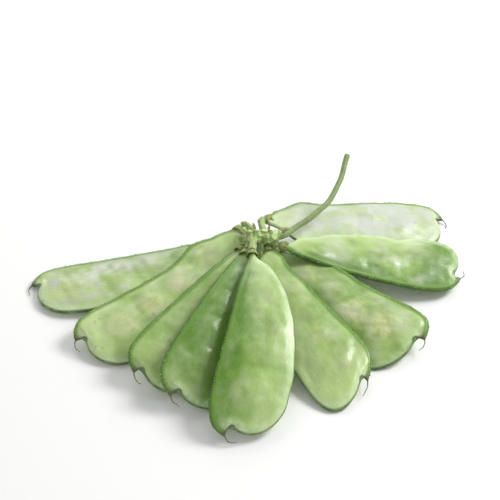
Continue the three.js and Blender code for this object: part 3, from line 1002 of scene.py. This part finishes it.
class HYACINTH_OT_stalk(bpy.types.Operator):
    """Make the stalk, its knots and the pods' branches as one grown piece"""

    bl_idname = "hyacinth.stalk"
    bl_label = "Stalk"

    def routes(self):
        """Each run of the stalk: its path, its radii, how knotty it is, and whether its far end is cut."""
        x = np.linspace(-RACHIS_HALF, RACHIS_HALF, 90)
        swell = sum(hump(x, knot, 0.9) for knot in RACHIS_KNOTS)
        share = (x + RACHIS_HALF) / (2 * RACHIS_HALF)
        rachis = (1.2 * RACHIS_RADIUS + 1.3 * RACHIS_KNOT * swell) * (0.75 + 0.25 * np.sin(np.pi * share))
        runs = [(on_rachis(x), rachis, 1.0, False)]
        bends = [tuple(on_rachis(RACHIS_HALF - 2))] + PEDUNCLE
        path = evenly(through(bends, np.linspace(0, 1, 400)), 160)
        share = np.linspace(0, 1, 160)
        wander = np.stack([ripple(seed, 22, share * 70) for seed in (31, 32, 33)], axis=1)
        path = path + 0.12 * wander * smooth(share, 0.05, 0.2)[:, None] * smooth(1 - share, 0, 0.15)[:, None]
        girth = PEDUNCLE_RADIUS * (1 + 0.22 * hump(share, 0.06, 0.08) - 0.05 * share + 0.1 * hump(share, 1, 0.05))
        runs.append((path, girth, 0.0, True))
        for pod in pods:
            route = pedicel_route(pod)
            s = np.linspace(0, 1, len(route))
            width = PEDICEL_RADIUS * 1.5 + 1.1 * PEDICEL_FOOT * np.exp(-4 * s) + 0.25 * smooth(s, 0.6, 1)
            runs.append((route, width, 0.5, False))
        for foot, end, radius in STUBS:
            path = np.linspace(on_rachis(foot), end, 30)
            s = np.linspace(0, 1, 30)
            runs.append((path, radius * (1 - 0.12 * np.sin(np.pi * s)), 0.9, True))
        for x0, end, radius in KNOBS:
            path = np.linspace(on_rachis(x0), end, 20)
            runs.append((path, radius * (1 + 0.2 * hump(np.linspace(0, 1, 20), 0.85, 0.3)), 0.8, False))
        for x0, turn, length, radius in SCARS:
            out = np.array([0.15, math.cos(math.radians(turn)), math.sin(math.radians(turn))])
            foot = on_rachis(x0)
            path = np.linspace(foot, foot + unit(out) * (RACHIS_RADIUS + length), 16)
            runs.append((path, radius * (1 + 0.15 * np.linspace(-1, 1, 16)), 1.0, radius > 1))
        return runs

    def execute(self, context):
        settings = context.scene.hyacinth_stalk
        runs = self.routes()
        form = Form()
        for path, radius, _, _ in runs:
            form.add(*tube(path, radius, STALK_SIDES))
        rough = form.piece("stalk_rough", None)
        modifier = rough.modifiers.new("grown_together", "REMESH")
        modifier.mode, modifier.voxel_size = "VOXEL", settings.voxel * MM
        evaluated = rough.evaluated_get(context.evaluated_depsgraph_get())
        mesh = bpy.data.meshes.new_from_object(evaluated)
        bpy.data.objects.remove(rough)

        count = len(mesh.vertices)
        if count < 1000:
            raise RuntimeError("the stalk came out empty")
        places = np.empty(count * 3)
        mesh.vertices.foreach_get("co", places)
        places = places.reshape(-1, 3) / MM - origin
        normals = np.empty(count * 3)
        mesh.vertex_normals.foreach_get("vector", normals)
        normals = normals.reshape(-1, 3)
        nearest = np.full(count, 1e9)
        along, ridge, knot, cut = (np.zeros(count) for _ in range(4))
        for path, radius, knotty, ends_cut in runs:
            direction, across, above = frames_along(path)
            run = np.concatenate([[0], np.cumsum(np.linalg.norm(np.diff(path, axis=0), axis=1))])
            gaps = np.sum((places[:, None, :] - path[None, :, :]) ** 2, axis=2)
            at = np.argmin(gaps, axis=1)
            off = places - path[at]
            depth = np.sqrt(gaps[np.arange(count), at]) - radius[at]
            closer = depth < nearest
            nearest = np.where(closer, depth, nearest)
            angle = np.arctan2(np.sum(off * above[at], axis=1), np.sum(off * across[at], axis=1))
            along = np.where(closer, run[at], along)
            ridge = np.where(closer, np.cos(settings.ridges * angle + 0.05 * run[at]), ridge)
            knot = np.where(closer, knotty, knot)
            facing = np.sum(normals * direction[-1], axis=1)
            at_end = np.sum((places - path[-1]) * direction[-1], axis=1)
            near = smooth(facing, 0.75, 0.9) * smooth(at_end, -0.6, -0.3) if ends_cut else 0
            cut = np.where(closer, near, cut)
        lumps = ripple(41, 2.2, *places.T) * (0.04 + 0.1 * knot)
        grain = ripple(42, 0.9, *places.T) * 0.025
        rise = (settings.ridge_height * ridge * (1 - 0.6 * knot) + lumps + grain) * (1 - cut)
        places = places + normals * rise[:, None]
        mesh.vertices.foreach_set("co", ((places + origin) * MM).ravel())
        for name, values in (("along", along), ("ridge", ridge), ("knot", knot), ("cut", cut)):
            write_field(mesh, name, values)
        stand_for(finished(mesh, "stem", stalk_skin(settings)), "stalk", "stalk")
        return {"FINISHED"}


class HYACINTH_OT_calyces(bpy.types.Operator):
    """Make the dry cups at the pods' necks"""

    bl_idname = "hyacinth.calyces"
    bl_label = "Calyces"

    def execute(self, context):
        settings = context.scene.hyacinth_calyces
        material = dry_skin("calyx_skin", settings.base, settings.tip, settings.blotch)
        sides, floor = 80, -JOINT_GAP
        angle = 2 * np.pi * np.arange(sides) / sides
        outside = [(0.25, -0.7), (0.7, -0.7), (1.05, -0.66), (1.25, -0.5), (1.6, -0.05), (1.95, 0.3), (2.1, 0.8),
                   (2.2, 1.4), (2.32, 1.9), (2.4, 2.2)]
        inside = [(2.12, 2.2), (2.0, 1.8), (1.85, 1.2), (1.72, 0.7), (1.5, 0.4), (1.1, 0.15), (0.6, 0.0),
                  (0.2, 0.0)]
        for pod in pods:
            point, along, side, above = pod.frame(0.0)
            turn = 0.4 * pod.number
            tooth = np.maximum(np.cos(settings.lobes / 2 * (angle + turn)) ** 2, 0) ** 1.6
            tooth = tooth * (1 + 0.25 * ripple(pod.number, 2.0, angle))
            grid, end = [], []
            for is_outer, profile in ((True, outside), (False, inside)):
                for radius, height in profile:
                    reach = smooth(height, 0.9, CALYX_DEPTH)
                    rise = floor + height + reach * settings.lobe_length * tooth * (1 if is_outer else 0.92)
                    ribs = settings.ribs * np.cos(2 * settings.lobes * (angle + turn)) if is_outer else 0
                    flare = 0.92 * radius + ribs * smooth(height, -0.6, 0.4) + 0.22 * reach * tooth
                    grid.append(point + side * (flare * np.cos(angle))[:, None]
                                + above * (flare * np.sin(angle))[:, None] + along * rise[:, None])
                    end.append(np.clip((height + 0.7) / 2.9 + 0.3 * reach * tooth, 0, 1))
            grid = np.array(grid)
            vertices, faces = rings(grid, grid[0].mean(axis=0), grid[-1].mean(axis=0))
            around = np.concatenate([np.tile(np.cos(3 * angle) * 3, len(grid)), [0, 0]])
            form = Form()
            form.add(vertices, faces, end=np.concatenate([np.array(end).ravel(), [0, 0]]), round=around)
            piece = form.piece(f"calyx_cup_{pod.number}", material)
            stand_for(piece, "calyx", f"calyx_{pod.number}")
        return {"FINISHED"}


class HYACINTH_OT_styles(bpy.types.Operator):
    """Make the dry threads that hang off the beaks"""

    bl_idname = "hyacinth.styles"
    bl_label = "Styles"

    def route(self, pod, kink):
        tip = (np.array(SUTURE_EDGE[-1]) + np.array(BELLY_EDGE[-1])) / 2
        turn = STYLE_LENGTH / pod.width
        spots = []
        for step, (x, y) in enumerate([(0.0, 0), (0.014, -0.2), (0.02, -0.55), (0.015, -1)]):
            across = tip[1] + y * turn * 0.8
            share = tip[0] + x - pod.slant * across
            spot = pod.place(share, across * pod.width * pod.beak, 0.0)
            spot[2] = max(spot[2] - 0.3 * step, SURFACE + STYLE_RADIUS * 1.5)
            spots.append(spot)
        share = np.linspace(0, 1, 48)
        path = evenly(through(spots, np.linspace(0, 1, 200)), 48)
        wander = np.stack([ripple(500 + pod.number * 3 + axis, 2.6, share * STYLE_LENGTH)
                           for axis in range(3)], axis=1)
        path = path + kink * wander * smooth(share, 0.05, 0.5)[:, None]
        path[:, 2] = np.maximum(path[:, 2], SURFACE + STYLE_RADIUS * 1.15)
        return path, share

    def execute(self, context):
        settings = context.scene.hyacinth_styles
        material = dry_skin("style_skin", settings.base, settings.tip, settings.blotch)
        sides = 12
        angle = 2 * np.pi * np.arange(sides) / sides
        for pod in pods:
            path, share = self.route(pod, settings.kink)
            waist = ripple(pod.number + 900, 0.9, share * STYLE_LENGTH)
            radius = STYLE_RADIUS * (1.1 - 0.55 * share + 0.12 * waist)
            radius = radius[:, None] * (1 + 0.12 * np.cos(2 * angle[None, :] + 9 * share[:, None]))
            radius[0] *= 0.7
            radius[-1] *= 0.5
            vertices, faces = tube(path, radius, sides)
            end = np.concatenate([np.repeat(share, sides), [0, 1]])
            around = np.concatenate([np.tile(np.cos(angle), len(path)), [0, 0]])
            form = Form()
            form.add(vertices, faces, end=end, round=around)
            piece = form.piece(f"style_thread_{pod.number}", material)
            stand_for(piece, "style", f"style_{pod.number}")
        return {"FINISHED"}


# Dry scales: the foot, the way it points, its length and its width.
BRACTS = [
    ((5.6, 0.6, 25.2), (0.85, 0.5, 0.1), 5.5, 1.3), ((-2.6, 0.4, 25.6), (-0.35, 0.75, 0.5), 3.6, 1.2),
    ((0.9, -2.6, 25.7), (0.2, -0.8, 0.55), 2.8, 1.1), ((-5.2, -1.2, 25.3), (-0.85, 0.1, 0.5), 3.2, 1.2),
    ((2.4, 0.2, 25.9), (0.1, 0.6, 0.8), 2.6, 1.0), ((7.4, 0.9, 25.1), (0.9, -0.15, 0.3), 3.4, 1.1),
]


class HYACINTH_OT_bracts(bpy.types.Operator):
    """Make the small dry scales on the knots"""

    bl_idname = "hyacinth.bracts"
    bl_label = "Bracts"

    def execute(self, context):
        settings = context.scene.hyacinth_bracts
        material = dry_skin("bract_skin", settings.base, settings.tip, settings.blotch)
        form = Form()
        rows, sides = 26, 20
        share, angle = np.linspace(0, 1, rows), 2 * np.pi * np.arange(sides) / sides
        for number, (foot, way, length, width) in enumerate(BRACTS):
            way = unit(np.array(way, float))
            side = unit(np.cross(way, (0.0, 0.0, 1.0)))
            above = np.cross(side, way)
            leaf = width / 2 * np.sin(np.pi * np.clip(share * 0.92 + 0.08, 0, 1)) ** 0.8 + 0.03
            curl = 0.9 * share ** 2 * (1 if number % 2 else -0.6)
            keel = np.abs(np.cos(angle))[None, :] * leaf[:, None] * 0.45
            grid = (np.array(foot, float) + way * (share * length)[:, None, None]
                    + side * (leaf[:, None] * np.cos(angle))[..., None]
                    + above * (curl[:, None] + keel + settings.thickness / 2 * np.sin(angle)[None, :])[..., None])
            vertices, faces = rings(grid, grid[0].mean(axis=0), grid[-1].mean(axis=0))
            end = np.concatenate([np.repeat(share, sides), [0, 1]])
            form.add(vertices, faces, end=end, round=np.concatenate([np.tile(2 * np.cos(angle), rows), [0, 0]]))
        stand_for(form.piece("bracts", material), "calyx")
        return {"FINISHED"}


# ---- the add-on ----

SETTINGS = {
    "hyacinth_stage": StageSettings,
    "hyacinth_stalk": StalkSettings,
    "hyacinth_pods": PodSettings,
    "hyacinth_warts": WartSettings,
    "hyacinth_calyces": CalyxSettings,
    "hyacinth_styles": StyleSettings,
    "hyacinth_bracts": BractSettings,
}
OPERATORS = (HYACINTH_OT_stage, HYACINTH_OT_stalk, HYACINTH_OT_pods, HYACINTH_OT_warts, HYACINTH_OT_calyces,
             HYACINTH_OT_styles, HYACINTH_OT_bracts)


class HYACINTH_PT_cluster(bpy.types.Panel):
    """Lists the cluster's pieces and their settings"""

    bl_idname = "HYACINTH_PT_cluster"
    bl_label = "Hyacinth beans"
    bl_space_type = "VIEW_3D"
    bl_region_type = "UI"
    bl_category = "Hyacinth beans"

    def draw(self, context):
        for operator, (name, group) in zip(OPERATORS, SETTINGS.items()):
            box = self.layout.box()
            box.operator(operator.bl_idname)
            for setting in group.__annotations__:
                box.prop(getattr(context.scene, name), setting)


def register():
    for group in SETTINGS.values():
        bpy.utils.register_class(group)
    for name, group in SETTINGS.items():
        setattr(bpy.types.Scene, name, PointerProperty(type=group))
    for operator in OPERATORS:
        bpy.utils.register_class(operator)
    bpy.utils.register_class(HYACINTH_PT_cluster)


def unregister():
    bpy.utils.unregister_class(HYACINTH_PT_cluster)
    for operator in reversed(OPERATORS):
        bpy.utils.unregister_class(operator)
    for name in SETTINGS:
        delattr(bpy.types.Scene, name)
    for group in SETTINGS.values():
        bpy.utils.unregister_class(group)


def main():
    register()
    for operator in OPERATORS:
        group, name = operator.bl_idname.split(".")
        getattr(getattr(bpy.ops, group), name)()


if __name__ == "__main__":
    main()
